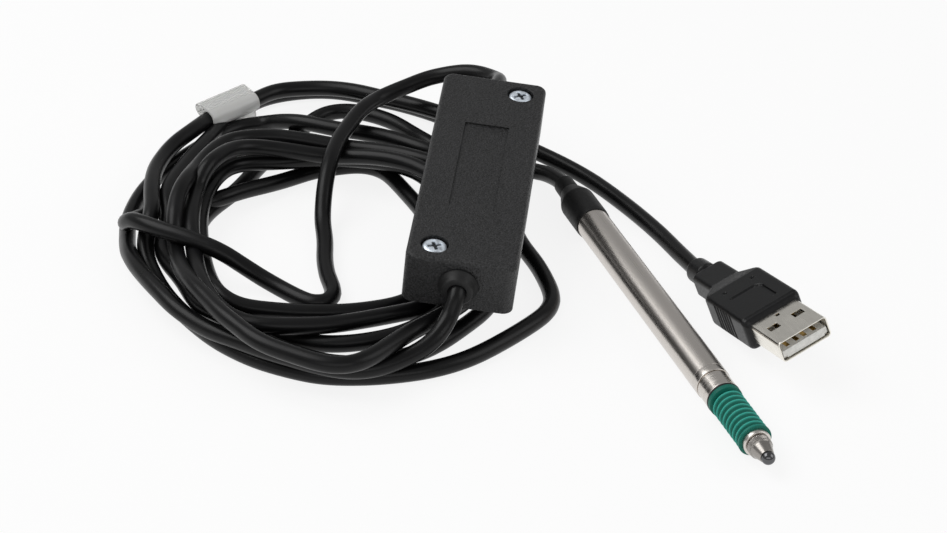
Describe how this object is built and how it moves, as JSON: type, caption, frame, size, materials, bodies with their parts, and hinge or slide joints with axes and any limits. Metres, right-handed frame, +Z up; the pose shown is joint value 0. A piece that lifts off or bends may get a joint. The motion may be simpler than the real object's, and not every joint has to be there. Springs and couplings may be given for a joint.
{
  "type": "displacement measuring probe",
  "caption": "Pencil gauging probe with sprung plunger, rubber gaiter and contact ball, wired through a small interface box to a USB plug, leads laid up in a bundle.",
  "frame": {"origin": "on the probe's axis, in the clamping length of the stem, 30 mm behind the front face of the nose flange", "axes": "the probe's axis is Y with the contact tip towards -Y; +Z is up from the surface the part lies on, which is 4.3 mm below the axis"},
  "size_m": [0.136, 0.197, 0.0289],
  "materials": {
    "brushed_stem": "brushed along the axis, satin",
    "turned_steel": "turned, satin",
    "hardened_steel": "ground",
    "zinc": "bluish zinc plate",
    "nickel": "nickel plate, slightly brushed",
    "carbide": "polished",
    "cage_brass": "turned",
    "gold_contact": "gold plate",
    "copper_winding": "enamelled wire",
    "core_alloy": "dull",
    "green_rubber": "soft, matte",
    "black_rubber": "matte",
    "lead_jacket": "smooth, half gloss",
    "case_plastic": "fine spark-eroded texture",
    "grip_plastic": "smooth, half gloss",
    "former_plastic": "natural",
    "plug_insulator": "white",
    "board_green": "solder resist",
    "component_black": "moulded",
    "clear_sleeve": "clear flexible plastic"
  },
  "bodies": {
    "probe": {"stem": "brushed_stem", "nose_piece": "turned_steel", "guide_bush": "hardened_steel", "anti_rotation_pin": "hardened_steel", "spring_seat": "hardened_steel", "bobbin": "former_plastic", "windings": "copper_winding", "rear_plug": "component_black", "boot": "black_rubber", "gaiter_ring": "black_rubber", "gaiter": "green_rubber", "return_spring": "hardened_steel", "case_shell": "case_plastic", "case_plate": "case_plastic", "case_screws": "zinc", "circuit_board": "board_green", "board_parts": "component_black", "front_grommet": "black_rubber", "rear_grommet": "black_rubber", "plug_shell": "nickel", "plug_tongue": "plug_insulator", "plug_contacts": "gold_contact", "plug_grip": "grip_plastic", "probe_lead": "lead_jacket", "usb_lead": "lead_jacket", "front_lead": "lead_jacket", "rear_lead": "lead_jacket", "cable_coil": "lead_jacket", "cable_clip": "clear_sleeve"},
    "plunger": {"plunger_rod": "hardened_steel", "stop_ring": "hardened_steel", "core_rod": "turned_steel", "core": "core_alloy", "tip_ring": "turned_steel", "contact_tip": "turned_steel", "tip_ball": "carbide"},
    "cage": {"ball_cage": "cage_brass", "guide_balls": "hardened_steel"}
  },
  "joints": [
    {"name": "plunger_slide", "type": "slide", "parent": "probe", "child": "plunger", "axis": [0, 1, 0], "range_m": [0, 0.005], "stiffness_N_per_m": 90, "springref_m": -0.006, "deforming": ["gaiter", "return_spring"]},
    {"name": "cage_slide", "type": "slide", "parent": "probe", "child": "cage", "axis": [0, 1, 0], "range_m": [0, 0.0025]}
  ],
  "couplings": [
    {"joint": "cage_slide", "follows": "plunger_slide", "ratio": 0.5}
  ]
}
